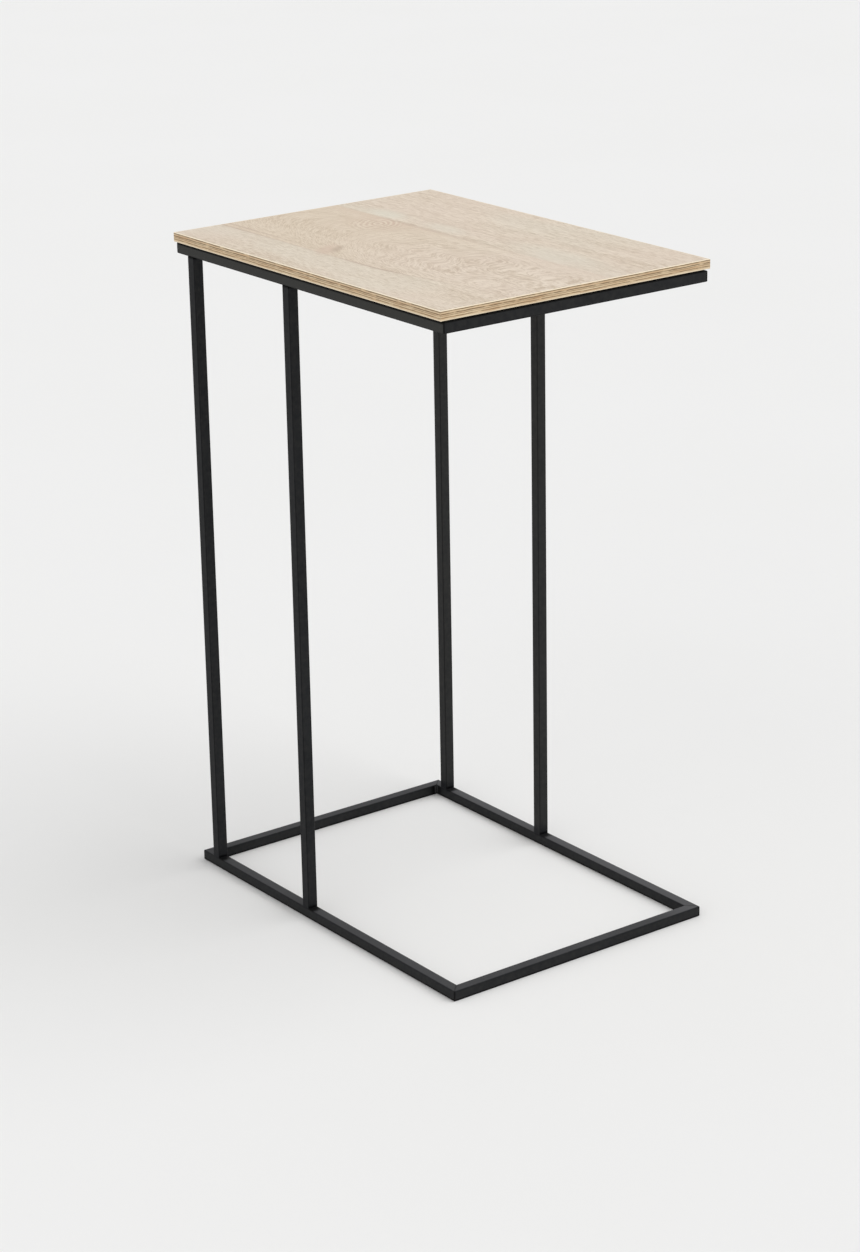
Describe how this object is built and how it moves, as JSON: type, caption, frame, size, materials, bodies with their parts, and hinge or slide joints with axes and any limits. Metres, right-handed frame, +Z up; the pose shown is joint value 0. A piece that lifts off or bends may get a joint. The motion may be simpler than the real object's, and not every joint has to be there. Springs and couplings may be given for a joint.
{
  "type": "c shaped side table",
  "caption": "Narrow side table with a thin oak-look board on a C-shaped frame of slim black square tube, open at one end so its base slides under a seat.",
  "frame": {"origin": "middle of the footprint, on the floor", "axes": "+Z up, +Y towards the spine where the legs stand, -Y towards the open end, X across the table"},
  "size_m": [0.287, 0.395, 0.61],
  "materials": {
    "frame_black": "satin fine-texture powder coat",
    "zinc_steel": "zinc plated",
    "blackened_bolt": "black zinc plated, semi-matt",
    "black_nylon": "matt moulded",
    "oak_laminate": "matt light oak decor paper, grain along the depth",
    "backing_sheet": "matt plain balancing sheet",
    "particleboard": "raw pressed wood chips",
    "oak_edge_band": "matt light oak decor edge band"
  },
  "bodies": {
    "root": {"base_ring_open_end_tube": "frame_black", "base_ring_right_tube": "frame_black", "base_ring_spine_tube": "frame_black", "base_ring_left_tube": "frame_black", "base_ring_corner_welds": "frame_black", "top_ring_open_end_tube": "frame_black", "top_ring_right_tube": "frame_black", "top_ring_spine_tube": "frame_black", "top_ring_left_tube": "frame_black", "top_ring_corner_welds": "frame_black", "spine_left_leg": "frame_black", "spine_right_leg": "frame_black", "inner_left_leg": "frame_black", "inner_right_leg": "frame_black", "spine_left_leg_base_plug": "zinc_steel", "spine_left_leg_top_plug": "zinc_steel", "spine_right_leg_base_plug": "zinc_steel", "spine_right_leg_top_plug": "zinc_steel", "inner_left_leg_base_plug": "zinc_steel", "inner_left_leg_top_plug": "zinc_steel", "inner_right_leg_base_plug": "zinc_steel", "inner_right_leg_top_plug": "zinc_steel", "top_leg_bolts": "blackened_bolt", "base_leg_bolts": "blackened_bolt", "board_screws": "blackened_bolt", "board_washers": "black_nylon", "top_laminate": "oak_laminate", "underside_laminate": "backing_sheet", "board_core": "particleboard", "open_end_edge_band": "oak_edge_band", "right_edge_band": "oak_edge_band", "spine_edge_band": "oak_edge_band", "left_edge_band": "oak_edge_band"}
  },
  "joints": []
}
